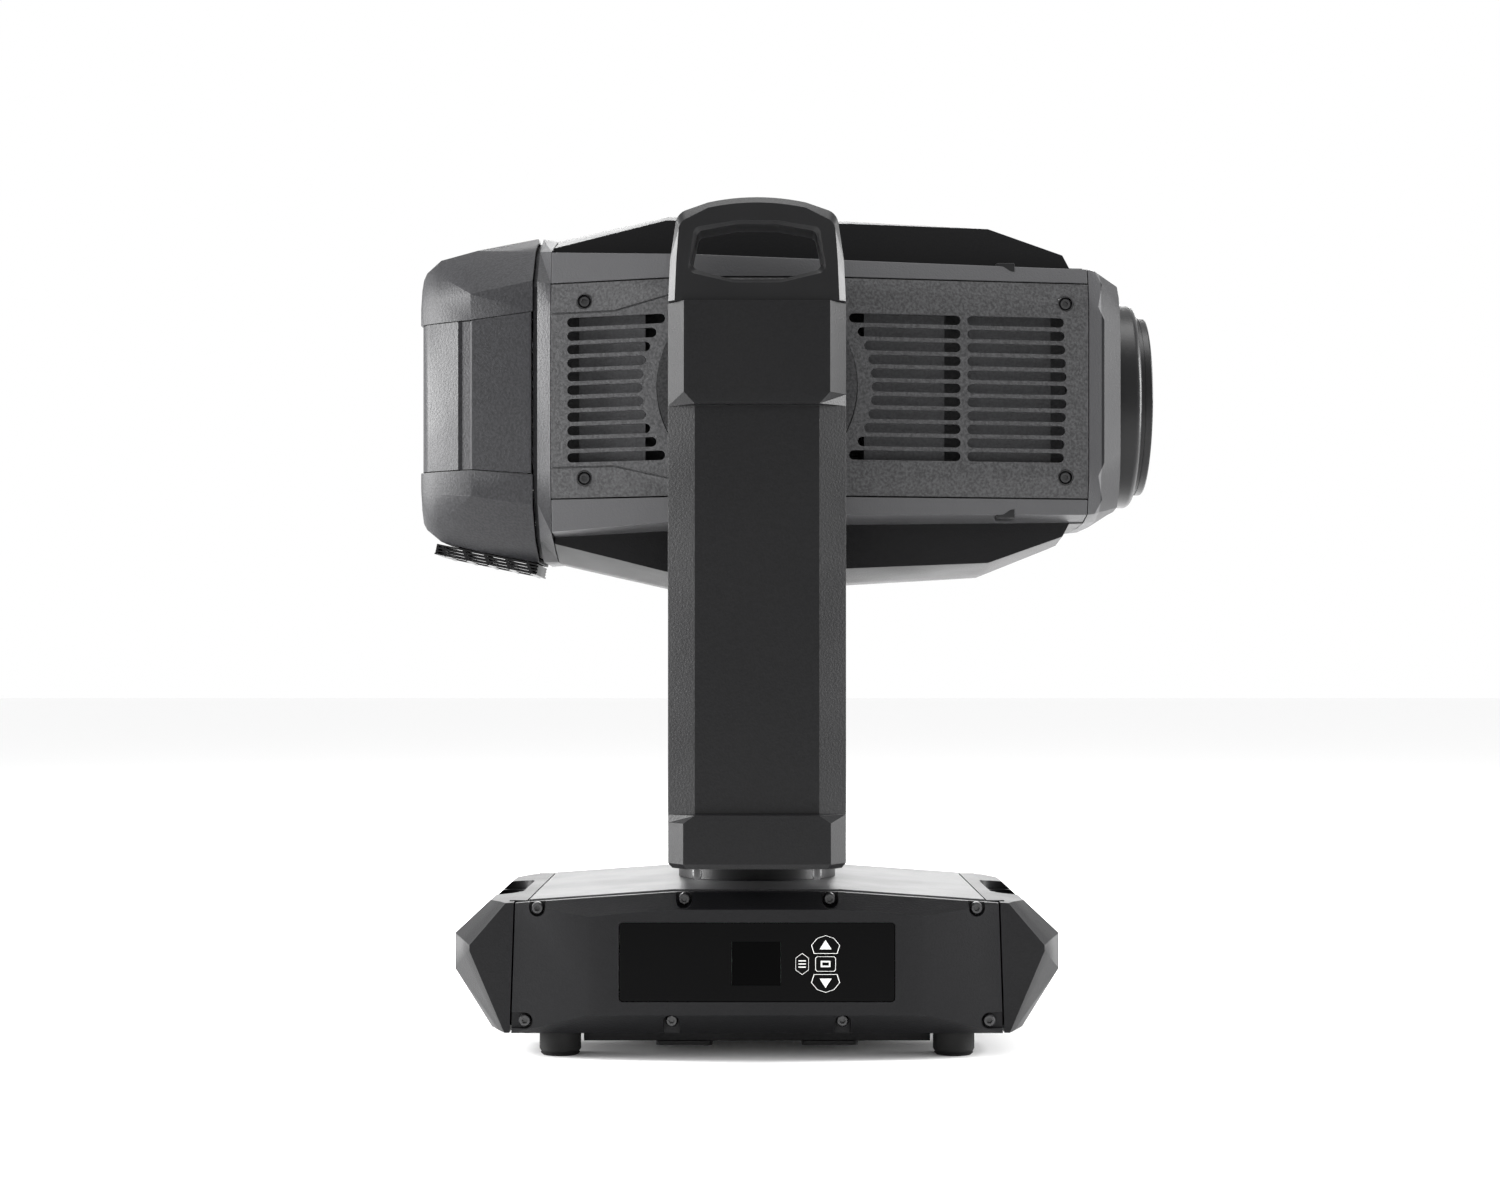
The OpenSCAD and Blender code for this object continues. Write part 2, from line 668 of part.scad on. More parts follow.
plate_z = 139; // underside of the yoke
pan_bearing_r = 36;
module yoke_frame() {
    color(charcoal) {
        both_y() difference() {
            box([1 - arm_half_w, arm_inner_y, plate_z], [arm_half_w - 1, arm_inner_y + 6, arm_top_z]);
            at_tilt() rod_y(bearing_r, arm_inner_y - 1, arm_inner_y + 8);
            translate([0, 0, lock_z]) rod_y(lock_pin_r + 0.1, arm_inner_y - 1, arm_inner_y + 8);
        }
        difference() {
            box([-58, -arm_inner_y, plate_z], [58, arm_inner_y, plate_z + 6]);
            rod_z(pan_bearing_r, plate_z - 1, plate_z + 8);
            translate([lock_r, 0, 0]) rod_z(lock_pin_r + 0.1, plate_z - 1, plate_z + 8);
        }
    }
}

// Half outline of the cover between the arms
bridge_half = [[57.7, 0], [57.7, 34], [42, 52.5]];
bridge_z0 = plate_z + 6.2;
module yoke_base_cover() {
    color(graphite) difference() {
        plate_y(-arm_inner_y + gap, arm_inner_y - gap) translate([0, bridge_z0])
            polygon(concat(bridge_half, mirrored(bridge_half)));
        plate_y(-arm_inner_y + 4, arm_inner_y - 4) translate([0, bridge_z0 - 1])
            polygon([[54.7, 0], [54.7, 33.8], [40.5, 50.5], [-40.5, 50.5], [-54.7, 33.8], [-54.7, 0]]);
        translate([lock_r, 0, 0]) rod_z(lock_pin_r + 0.3, plate_z, 230);
        translate([lock_r, 0, 186]) rod_z(10, 0, 40);
    }
}

module arm_screws() {
    color(jet) for (x = [-42, 42], y = [-190, 190])
        translate([x, y, plate_z + 0.2]) rotate([180, 0, 0]) cap_screw(3.4, 8.5, 2, 0);
}

module pan_bearing() {
    color(steel) difference() {
        rod_z(pan_bearing_r, plate_z + 0.5, plate_z + 6.5);
        rod_z(26 + running, plate_z - 1, plate_z + 8);
        difference() {
            rod_z(33, plate_z - 1, plate_z + 1.5);
            rod_z(29, plate_z - 2, plate_z + 2);
        }
    }
}

pan_belt_z = 148;
pan_motor_y = 95;
module pan_motor() {
    color(jet) translate([0, pan_motor_y, 0]) {
        difference() {
            union() {
                translate([0, 0, 160]) linear_extrude(33) round_rect(56, 56, 5);
                for (x = [-23.5, 23.5], y = [-23.5, 23.5]) translate([x, y, 0]) rod_z(2.5, plate_z + 6, 161);
            }
            rod_z(3 + running, 159, 182);
        }
    }
}

module pan_motor_pulley() {
    color(aluminium) translate([0, pan_motor_y, 0]) {
        translate([0, 0, pan_belt_z - 1]) pulley(motor_teeth, 10, 11, 3);
        rod_z(3, pan_belt_z - 1, 180);
    }
}

module pan_belt() {
    color(rubber) translate([0, 0, pan_belt_z + 0.3]) rotate([0, 0, 90]) belt_ring(36, 10, pan_motor_y, 8.4);
}

module driver_board() {
    color(board_green) {
        box([-40, 180, 220], [40, 181.6, 400]);
        for (z = [240 : 40 : 380]) box([-20, 181.6, z], [12, 190, z + 18]);
        for (z = [232 : 12 : 388]) box([24, 181.6, z], [34, 187, z + 8]);
        for (x = [-34, 34], z = [226, 394]) translate([x, 0, z]) rod_y(3, arm_inner_y + 6, 180);
    }
}

pan_lock_travel = 7;
module pan_lock() {
    color(steel) translate([lock_r, 0, 0]) {
        rod_z(lock_pin_r, plate_z - 0.5, 200);
        rod_z(8, 196.5, 203);
    }
}

tilt_lock_travel = 6;
module tilt_lock() {
    color(steel) translate([0, 0, lock_z]) {
        rod_y(lock_pin_r, arm_inner_y - 1.5, 222);
        rod_y(9, arm_face_y + tilt_lock_travel + 0.8, arm_face_y + tilt_lock_travel + 6);
        rod_y(5, 205, arm_face_y + tilt_lock_travel + 2);
    }
}

// ---- Base ----

turntable_r = 60;
module turntable() {
    color(jet) difference() {
        rod_z(turntable_r, 119.9, plate_z - 2);
        rod_z(26, 118, plate_z);
        for (a = [0 : 90 : 270]) rotate([0, 0, a]) translate([lock_r, 0, 0])
            rod_z(lock_pin_r + 0.3, 128, plate_z);
    }
}

module pan_pulley() {
    color(aluminium) {
        difference() {
            union() {
                rod_z(26, 100, 162);
                rod_z(40, 96, 100);
            }
            rod_z(20, 90, 170);
        }
        translate([0, 0, pan_belt_z - 1]) pulley(pan_teeth, 36, 11, 26);
    }
}

top_line = [[-164, 112.3], [-60, 119.6], [60, 119.6], [164, 112.3]];
top_half_y = 136;
module base_top_plate() {
    color(graphite) difference() {
        plate_y(-top_half_y + 0.3, top_half_y - 0.3)
            polygon(concat(flip(top_line), [for (p = top_line) [p[0], p[1] - wall]]));
        rod_z(26 + 0.3, 90, 130);
    }
}

pan_half = [126, 112];
tray_half = [162, 135];
module base_tray() {
    color(charcoal) difference() {
        union() {
            box([-tray_half[0], -tray_half[1], 17.3], [tray_half[0], tray_half[1], 106]);
            box([-pan_half[0], -pan_half[1], 7.5], [pan_half[0], pan_half[1], 18]);
        }
        box([-tray_half[0] + 4, -tray_half[1] + 4, 21.3], [tray_half[0] - 4, tray_half[1] - 4, 110]);
        for (x = [-1, 1], y = [-1, 1]) translate([x * bracket_x / 2, y * bracket_y / 2, 0]) rod_z(6.5, 0, 14);
        for (x = [-110, 110]) for (y = [-130, 130]) box([x - 30, y - 10, 40], [x + 30, y + 10, 90]);
        box([-100, -140, 38], [100, -125, 102]);
        box([-100, 125, 38], [100, 140, 102]);
    }
}

// A socket plate for a quarter-turn clamp bracket stud, with its keyway
module bracket_sockets() {
    color(jet) for (x = [-1, 1], y = [-1, 1]) translate([x * bracket_x / 2, y * bracket_y / 2, 4.5]) difference() {
        linear_extrude(3 - 0.1) round_rect(41, 30, 4);
        translate([0, 0, -1]) cylinder(r = 6.5, h = 5);
    }
}

foot_place = [142, 128];
module rubber_feet() {
    color(rubber) for (x = [-1, 1], y = [-1, 1]) translate([x * foot_place[0], y * foot_place[1], 0]) {
        cylinder(r1 = 12.6, r2 = 14.2, h = 1.6);
        translate([0, 0, 1.6]) cylinder(r1 = 13.2, r2 = 15, h = 3);
        translate([0, 0, 4.6]) cylinder(r = 15, h = 12.6);
    }
}

// Outlines of a long base panel: its edge, and its flat face
panel_edge = [[-panel_half_x, 17.3], [panel_half_x, 17.3], [173, 110.3], [118, 114.3], [60, 118.2],
    [-60, 118.2], [-118, 114.3], [-173, 110.3]];
panel_face = [[-119, 32.4], [119, 32.4], [119, 102], [100, 104.2], [60, 107.3],
    [-60, 107.3], [-100, 104.2], [-119, 102]];
panel_back_y = 136;
panel_edge_y = 146;
top_screws = [[-157, 107], [-52, 113.5], [52, 113.5], [157, 107]];
low_screws = [[-61, 26.7], [61, 26.7]];
side_screws = [[-166, 26.7], [166, 26.7]];
screw_seat_y = 144;
notch_r = 5.8;

function panel_ring(q, y, t) = [for (p = q) [p[0] - sign(p[0]) * t, -y, p[1] + (p[1] > 60 ? -t : t)]];

module panel_solid() {
    loft([panel_ring(panel_edge, panel_back_y, 0), panel_ring(panel_edge, panel_edge_y, 0),
        panel_ring(panel_face, panel_face_y, 0)]);
}

module panel_notches() {
    plate_y(-200, -screw_seat_y) {
        for (p = concat(top_screws, low_screws, side_screws)) translate(p) circle(notch_r);
        for (p = top_screws) translate(p + [-notch_r, 0]) square([2 * notch_r, 20]);
        for (p = low_screws) translate(p + [-notch_r, -20]) square([2 * notch_r, 20]);
        for (p = side_screws) translate(p + [p[0] < 0 ? -20 : 0, -notch_r]) square([20, 2 * notch_r]);
    }
}

module base_panel() {
    difference() {
        union() {
            difference() {
                panel_solid();
                loft([panel_ring(panel_edge, panel_back_y - 1, wall), panel_ring(panel_edge, panel_edge_y, wall),
                    panel_ring(panel_face, panel_face_y - wall, 1)]);
            }
            intersection() {
                panel_solid();
                plate_y(-156, -panel_back_y - 1) for (p = concat(top_screws, low_screws, side_screws))
                    translate(p) circle(9);
            }
        }
        panel_notches();
    }
}

window_z = 70;
module front_panel() {
    color(charcoal) difference() {
        base_panel();
        plate_y(-180, -150) translate([0, window_z]) round_rect(window_w + 1, window_h + 1, 3);
    }
}

signal_x = [-50, -12, 34, 72];
inlet_x = -104;
socket_z = 68;
module rear_panel() {
    color(charcoal) mirror([0, 1, 0]) difference() {
        base_panel();
        for (x = signal_x) translate([x, 0, socket_z]) rod_y(13, -180, -150);
        translate([inlet_x, 0, socket_z]) rod_y(15.3, -180, -150);
    }
}

module signal_sockets() {
    color(jet) for (x = signal_x) translate([x, 0, socket_z]) {
        plate_y(panel_face_y + 0.1, panel_face_y + 2.2) round_rect(28, 33, 3);
        rod_y(12.6, 142, panel_face_y + 1);
        rod_y(12, panel_face_y + 1, panel_face_y + 12);
        for (a = [0 : 30 : 330]) rotate([0, a, 0]) translate([12, 0, 0]) rod_y(1, panel_face_y + 3, panel_face_y + 11);
        for (s = [-1, 1]) translate([s * 10.5, 0, -s * 13]) rod_y(1.8, panel_face_y + 2, panel_face_y + 3.2);
    }
}

inlet_depth = 14;
module power_inlet() {
    mouth_y = panel_face_y + 10;
    color([0.1, 0.14, 0.3]) translate([inlet_x, 0, socket_z]) difference() {
        union() {
            plate_y(panel_face_y + 0.1, panel_face_y + 2.4) round_rect(36, 40, 3);
            rod_y(15, 140, mouth_y);
        }
        rod_y(12, mouth_y - inlet_depth, mouth_y + 1);
        for (a = [90, 210, 330]) rotate([0, a, 0]) translate([6, 0, 0]) rod_y(1.8, mouth_y - inlet_depth - 8, mouth_y);
        for (s = [-1, 1]) translate([s * 13.5, 0, s * 16]) rod_y(1.7, panel_face_y, panel_face_y + 4);
    }
}

module base_screws() {
    color(jet) both_y() for (p = concat(top_screws, low_screws, side_screws))
        translate([p[0], -screw_seat_y, p[1]]) rotate([90, 0, 0]) cap_screw(4.5, 6.2, 2, 0);
}

// End caps: half rings of the outline at stations across the base
cap_tip = [[-177.3, 17.3], [-174.2, 110.6], [-180, 110.3], [-206, 80], [-206, 76], [-181, 17.3]];
cap_bend = [[-177.3, 17.3], [-174.2, 111], [-184.5, 110.6], [-210.5, 82.5], [-210.5, 71], [-184.5, 17.3]];
cap_full = [[-177.3, 17.3], [-174.2, 111.6], [-194, 110], [-219.7, 86], [-219.7, 60], [-193, 17.8]];
cap_half_y = 145;
grip_half_y = 60;
module end_cap() {
    color(charcoal) difference() {
        union() {
            loft([for (s = [[cap_half_y, cap_tip], [135.7, cap_bend], [112, cap_full], [-112, cap_full],
                [-135.7, cap_bend], [-cap_half_y, cap_tip]]) [for (p = s[1]) [p[0], s[0], p[1]]]]);
            box([-178, -135.7, 21.5], [-165.3, 135.7, 111.6]);
        }
        rotate([0, 0, 90]) linear_extrude(200) translate([0, 191])
            stadium(-grip_half_y, grip_half_y, 24);
        rotate([0, 0, 90]) translate([0, 191, 0]) for (z = [[104, 130], [0, 26]]) translate([0, 0, z[0]])
            linear_extrude(z[1] - z[0]) stadium(-grip_half_y - 5, grip_half_y + 5, 32);
    }
}

module end_cap_left() { end_cap(); }
module end_cap_right() { mirror([1, 0, 0]) end_cap(); }

// ---- Control window ----

// Outlines of the four keys, about the middle of the group
key_group = [48.6, 68.8];
arrow_key = [[0, 7], [6.5, 4.8], [11, -0.6], [9, -7], [-9, -7], [-11, -0.6], [-6.5, 4.8]];
menu_key = [[0, 8.3], [5, 4.6], [5, -4.6], [0, -8.3], [-5, -4.6], [-5, 4.6]];
overlay_y = panel_face_y - 1;

module key_shape(which) {
    if (which == "up") translate([0, 13.8]) polygon(arrow_key);
    if (which == "down") translate([0, -13.8]) mirror([0, 1]) polygon(arrow_key);
    if (which == "menu") translate([-16.6, 0]) polygon(menu_key);
    if (which == "enter") round_rect(15.6, 11.4, 1.6);
}

module key(which) {
    color(jet) translate([key_group[0], 0, key_group[1]]) {
        plate_y(-overlay_y - 0.3, -overlay_y + 2.2) key_shape(which);
        plate_y(-overlay_y + 2.2, -overlay_y + 3.1) offset(0.42) key_shape(which);
    }
}

module key_up() { key("up"); }
module key_down() { key("down"); }
module key_menu() { key("menu"); }
module key_enter() { key("enter"); }

screen = [35, 31];
screen_x = -0.5;
module control_overlay() {
    color([0.01, 0.01, 0.01]) difference() {
        plate_y(-overlay_y, -overlay_y + 2) translate([0, window_z]) round_rect(window_w, window_h, 2.5);
        translate([key_group[0], 0, key_group[1]]) plate_y(-overlay_y - 1, -overlay_y + 3)
            for (k = ["up", "down", "menu", "enter"]) offset(0.2) key_shape(k);
        plate_y(-overlay_y - 1, -overlay_y + 3) translate([screen_x, window_z - 1]) square(screen, center = true);
    }
}

module display() {
    color([0.02, 0.02, 0.03]) plate_y(-overlay_y + 0.2, -overlay_y + 2.2) translate([screen_x, window_z - 1])
        square(screen - [0.4, 0.4], center = true);
}

module control_board() {
    board_y = overlay_y - 6;
    color(board_green) {
        box([-94, -board_y, 44], [94, -board_y + 1.6, 98]);
        for (p = [[0, 13.8], [0, -13.8], [-16.6, 0], [0, 0]])
            box([key_group[0] + p[0] - 3, -board_y - 1.5, key_group[1] + p[1] - 3],
                [key_group[0] + p[0] + 3, -board_y, key_group[1] + p[1] + 3]);
        for (x = [-80 : 22 : 74]) box([x, -board_y + 1.6, 56], [x + 12, -board_y + 5, 72]);
    }
}

module power_supply() {
    color(steel) difference() {
        box([-150, -85, 21.8], [-45, 85, 84]);
        for (x = [-140 : 10 : -60]) box([x, -86, 40], [x + 5, -84, 70]);
    }
    color(board_green) box([50, -90, 30], [150, 90, 31.6]);
    color(steel) for (y = [-80 : 40 : 60]) box([60, y, 31.6], [95, y + 28, 62]);
    color(steel) for (x = [56, 144], y = [-84, 84]) translate([x, y, 0]) rod_z(3, 21.4, 30);
}

base_tray();
bracket_sockets();
rubber_feet();
front_panel();
rear_panel();
base_top_plate();
end_cap_left();
end_cap_right();
base_screws();
control_overlay();
display();
control_board();
power_supply();
power_inlet();
signal_sockets();
turntable();
pan_pulley();
key_up();
key_down();
key_menu();
key_enter();
yoke_frame();
yoke_base_cover();
arm_cover_near();
arm_cover_far();
handle_near();
handle_far();
arm_screws();
pan_bearing();
tilt_bearings();
pan_motor();
tilt_motor();
pan_belt();
tilt_belt();
driver_board();
pan_motor_pulley();
tilt_motor_pulley();
pan_lock();
tilt_lock();
head_frame();
side_cover_near();
side_cover_far();
head_top_cover();
head_bottom_cover();
rear_housing();
rear_cap_top();
rear_cap_bottom();
intake_grille();
front_bezel();
lens_barrel();
front_lens();
head_screws();
tilt_hubs();
tilt_pulley();
heat_sink();
led_engine();
fan_rotor();
gobo_wheel();
zoom_carriage();
focus_carriage();
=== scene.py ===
"""Moving head light: materials, fine pieces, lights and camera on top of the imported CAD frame."""
import math

import bmesh
import bpy
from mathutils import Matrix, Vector


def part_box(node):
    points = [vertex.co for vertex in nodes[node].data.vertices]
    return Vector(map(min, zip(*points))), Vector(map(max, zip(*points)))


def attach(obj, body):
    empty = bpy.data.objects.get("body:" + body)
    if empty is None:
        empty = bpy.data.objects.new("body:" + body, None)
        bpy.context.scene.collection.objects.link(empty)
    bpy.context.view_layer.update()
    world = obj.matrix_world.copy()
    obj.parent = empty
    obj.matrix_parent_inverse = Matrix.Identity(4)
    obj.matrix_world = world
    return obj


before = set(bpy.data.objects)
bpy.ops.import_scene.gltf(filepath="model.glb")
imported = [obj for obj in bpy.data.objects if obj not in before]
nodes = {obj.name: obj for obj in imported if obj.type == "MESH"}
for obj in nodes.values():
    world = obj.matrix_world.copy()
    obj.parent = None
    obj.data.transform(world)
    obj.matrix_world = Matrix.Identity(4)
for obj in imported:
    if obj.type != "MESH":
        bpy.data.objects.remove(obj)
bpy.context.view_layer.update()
MM = 0.001
TILT_Z = 0.480  # height of the tilt axis and of the lens axis, in metres
KEY_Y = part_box("key_up")[0][1]  # the keys' outer face
SIGNS = (-1, 1)

# The middle of a noise texture's range, over which colour and roughness change
NOISE_LOW, NOISE_HIGH = 0.35, 0.65


# ---- Materials ----

def new_material(name, color, rough, metallic=0.0, **sockets):
    """A material on one shader; sockets are its other inputs, with _ for a space."""
    mat = bpy.data.materials.new(name)
    mat.use_nodes = True
    bsdf = mat.node_tree.nodes["Principled BSDF"]
    bsdf.inputs["Base Color"].default_value = (*color, 1.0)
    bsdf.inputs["Roughness"].default_value = rough
    bsdf.inputs["Metallic"].default_value = metallic
    for key, value in sockets.items():
        bsdf.inputs[key.replace("_", " ")].default_value = value
    mat.diffuse_color = (*color, 1.0)
    return mat


def noise(mat, scale, detail=2.0, stretch=None):
    """A noise texture in object space, in metres."""
    tree = mat.node_tree
    coord = tree.nodes.new("ShaderNodeTexCoord")
    tex = tree.nodes.new("ShaderNodeTexNoise")
    tex.inputs["Scale"].default_value = scale
    tex.inputs["Detail"].default_value = detail
    source = coord.outputs["Object"]
    if stretch:
        mapping = tree.nodes.new("ShaderNodeMapping")
        mapping.inputs["Scale"].default_value = stretch
        tree.links.new(source, mapping.inputs["Vector"])
        source = mapping.outputs["Vector"]
    tree.links.new(source, tex.inputs["Vector"])
    return tex.outputs["Fac"]


def vary_color(mat, fac, color, spread):
    """Colour from color * (1 - spread) to color * (1 + spread), over the middle of fac."""
    tree = mat.node_tree
    ramp = tree.nodes.new("ShaderNodeValToRGB")
    for stop, place, sign in zip(ramp.color_ramp.elements, (NOISE_LOW, NOISE_HIGH), SIGNS):
        stop.position = place
        stop.color = (*[c * (1 + sign * spread) for c in color], 1)
    tree.links.new(fac, ramp.inputs["Fac"])
    tree.links.new(ramp.outputs["Color"], tree.nodes["Principled BSDF"].inputs["Base Color"])


def vary_rough(mat, fac, low, high):
    """Roughness from low to high, over the middle of fac."""
    tree = mat.node_tree
    span = tree.nodes.new("ShaderNodeMapRange")
    span.inputs["From Min"].default_value = NOISE_LOW
    span.inputs["From Max"].default_value = NOISE_HIGH
    span.inputs["To Min"].default_value = low
    span.inputs["To Max"].default_value = high
    tree.links.new(fac, span.inputs["Value"])
    tree.links.new(span.outputs["Result"], tree.nodes["Principled BSDF"].inputs["Roughness"])


def add_bump(mat, fac, strength, depth):
    """A bump of the given depth, in metres."""
    tree = mat.node_tree
    bump = tree.nodes.new("ShaderNodeBump")
    bump.inputs["Strength"].default_value = strength
    bump.inputs["Distance"].default_value = depth
    tree.links.new(fac, bump.inputs["Height"])
    tree.links.new(bump.outputs["Normal"], tree.nodes["Principled BSDF"].inputs["Normal"])


def powder_coat(name, color, rough, grain=620.0, depth=0.00035, spread=0.15, specular=0.16):
    """A textured powder coat with a dull sheen; grain is the number of bumps to a metre."""
    mat = new_material(name, color, rough, Specular_IOR_Level=specular)
    fine = noise(mat, grain, 3.0)
    broad = noise(mat, 9.0, 3.0)
    vary_color(mat, fine, color, spread)
    vary_rough(mat, broad, rough - 0.05, rough + 0.06)
    add_bump(mat, fine, 0.55, depth)
    return mat


def two_tone_coat(name, inner, outer, edge, axis="Y"):
    """A powder coat of one colour where |axis| is under edge, in metres, and another past it."""
    mat = powder_coat(name, inner, 0.45, 700.0, 0.0003, specular=0.14)
    tree = mat.node_tree
    coord = tree.nodes.new("ShaderNodeTexCoord")
    split = tree.nodes.new("ShaderNodeSeparateXYZ")
    size = tree.nodes.new("ShaderNodeMath")
    size.operation = "ABSOLUTE"
    past = tree.nodes.new("ShaderNodeMath")
    past.operation = "GREATER_THAN"
    past.inputs[1].default_value = edge
    mix = tree.nodes.new("ShaderNodeMix")
    mix.data_type = "RGBA"
    mix.inputs["A"].default_value = (*inner, 1)
    mix.inputs["B"].default_value = (*outer, 1)
    tree.links.new(coord.outputs["Object"], split.inputs["Vector"])
    tree.links.new(split.outputs[axis], size.inputs[0])
    tree.links.new(size.outputs[0], past.inputs[0])
    tree.links.new(past.outputs[0], mix.inputs["Factor"])
    tree.links.new(mix.outputs["Result"], tree.nodes["Principled BSDF"].inputs["Base Color"])
    return mat


def moulded_plastic(name, color, rough, grain=1500.0, depth=0.00012, specular=0.2):
    """Plastic, rubber or paint with a fine grain, and a slight unevenness in colour and sheen."""
    mat = new_material(name, color, rough, Specular_IOR_Level=specular)
    fine = noise(mat, grain, 2.0)
    broad = noise(mat, 14.0, 3.0)
    vary_color(mat, broad, color, 0.12)
    vary_rough(mat, broad, rough - 0.05, rough + 0.05)
    add_bump(mat, fine, 0.35, depth)
    return mat


def metal(name, color, rough, stretch=(1, 1, 1)):
    """Bare metal with faint marks, drawn out into lines by stretch."""
    mat = new_material(name, color, rough, 1.0)
    lines = noise(mat, 300.0, 3.0, stretch)
    vary_color(mat, lines, color, 0.05)
    vary_rough(mat, lines, rough - 0.07, rough + 0.09)
    add_bump(mat, lines, 0.12, 0.00005)
    return mat


def gloss(name, color, rough, specular):
    """A glossy window with faint smudges."""
    mat = new_material(name, color, rough, Specular_IOR_Level=specular)
    smudge = noise(mat, 26.0, 4.0)
    vary_rough(mat, smudge, rough, rough + 0.04)
    return mat


def circuit(name, color):
    """A lacquered circuit board with raised lanes."""
    mat = new_material(name, color, 0.35, Coat_Weight=0.5)
    lanes = noise(mat, 260.0, 0.0, (1, 1, 4))
    vary_color(mat, lanes, color, 0.5)
    add_bump(mat, lanes, 0.3, 0.0002)
    return mat


def glass(name, tint):
    """Clear glass with a bluish anti-reflection coat and a faint haze."""
    mat = new_material(name, tint, 0.0, Transmission_Weight=1.0, IOR=1.5, Coat_Weight=0.6,
                       Coat_Roughness=0.02, Coat_Tint=(0.62, 0.70, 1.0, 1))
    vary_rough(mat, noise(mat, 18.0, 3.0), 0.0, 0.015)
    return mat


MATERIALS = {
    "shell_grey": powder_coat("shell_grey", (0.036, 0.036, 0.0372), 0.50, 520.0, 0.0005, 0.34),
    "cap_grey": powder_coat("cap_grey", (0.014, 0.014, 0.0155), 0.46, 560.0, 0.0004, 0.3),
    "hump_black": powder_coat("hump_black", (0.004, 0.004, 0.0045), 0.42, 900.0, 0.0002),
    "base_coat": powder_coat("base_coat", (0.0045, 0.0045, 0.0052), 0.42, 700.0, 0.0003),
    "yoke_coat": powder_coat("yoke_coat", (0.0055, 0.0055, 0.006), 0.42, 620.0, 0.00035),
    "top_coat": powder_coat("top_coat", (0.05, 0.05, 0.052), 0.38, 700.0, 0.0003),
    "cast_grey": powder_coat("cast_grey", (0.042, 0.042, 0.044), 0.55, 500.0, 0.0004),
    "bezel": two_tone_coat("bezel", (0.046, 0.046, 0.048), (0.010, 0.010, 0.011), 0.2508, "X"),
    "head_cover": two_tone_coat("head_cover", (0.004, 0.004, 0.0045), (0.050, 0.050, 0.052), 0.0803),
    "black_plastic": moulded_plastic("black_plastic", (0.005, 0.005, 0.0055), 0.38),
    "barrel_black": moulded_plastic("barrel_black", (0.006, 0.006, 0.0065), 0.34),
    "rubber": moulded_plastic("rubber_black", (0.008, 0.008, 0.008), 0.75, 700.0, 0.0003),
    "inlet_blue": moulded_plastic("inlet_blue", (0.02, 0.05, 0.22), 0.38),
    "window_gloss": gloss("window_gloss", (0.0005, 0.0005, 0.0006), 0.12, 0.04),
    "screen": gloss("screen_glass", (0.0001, 0.0001, 0.00015), 0.05, 0.02),
    "print_white": moulded_plastic("print_white", (0.78, 0.78, 0.76), 0.5, 2500.0, 0.00003),
    "screw_black": moulded_plastic("screw_black", (0.012, 0.012, 0.013), 0.30, 900.0, 0.0001, 0.5),
    "dark_steel": metal("dark_steel", (0.09, 0.09, 0.095), 0.36),
    "steel": metal("steel_satin", (0.56, 0.56, 0.58), 0.30, (1, 6, 1)),
    "aluminium": metal("aluminium_satin", (0.74, 0.75, 0.77), 0.34, (1, 1, 8)),
    "copper": metal("copper_plate", (0.82, 0.46, 0.28), 0.30, (1, 5, 1)),
    "circuit": circuit("circuit_green", (0.012, 0.10, 0.05)),
    "lens": glass("lens_glass", (0.93, 0.96, 1.0)),
}

NODE_MATERIAL = {
    "shell_grey": ["side_cover_near", "side_cover_far", "tilt_hubs"],
    "cap_grey": ["rear_cap_top", "rear_cap_bottom", "rear_housing"],
    "bezel": ["front_bezel"],
    "hump_black": ["yoke_base_cover"],
    "head_cover": ["head_top_cover", "head_bottom_cover"],
    "base_coat": ["base_tray", "front_panel", "rear_panel", "end_cap_left", "end_cap_right"],
    "yoke_coat": ["arm_cover_near", "arm_cover_far", "yoke_frame"],
    "top_coat": ["base_top_plate"],
    "cast_grey": ["head_frame"],
    "black_plastic": ["handle_near", "handle_far", "intake_grille", "turntable", "signal_sockets",
                      "bracket_sockets", "fan_rotor", "pan_motor", "tilt_motor"],
    "barrel_black": ["lens_barrel"],
    "rubber": ["rubber_feet", "pan_belt", "tilt_belt"],
    "inlet_blue": ["power_inlet"],
    "window_gloss": ["control_overlay", "key_up", "key_down", "key_menu", "key_enter"],
    "screen": ["display"],
    "screw_black": ["base_screws", "head_screws", "arm_screws"],
    "steel": ["pan_bearing", "tilt_bearings", "power_supply", "gobo_wheel"],
    "dark_steel": ["pan_lock", "tilt_lock"],
    "aluminium": ["pan_pulley", "tilt_pulley", "pan_motor_pulley", "tilt_motor_pulley", "heat_sink"],
    "copper": ["led_engine"],
    "circuit": ["control_board", "driver_board"],
    "lens": ["front_lens"],
}


SMOOTH_ANGLE = math.radians(32)
BEVEL_ANGLE = math.radians(28)


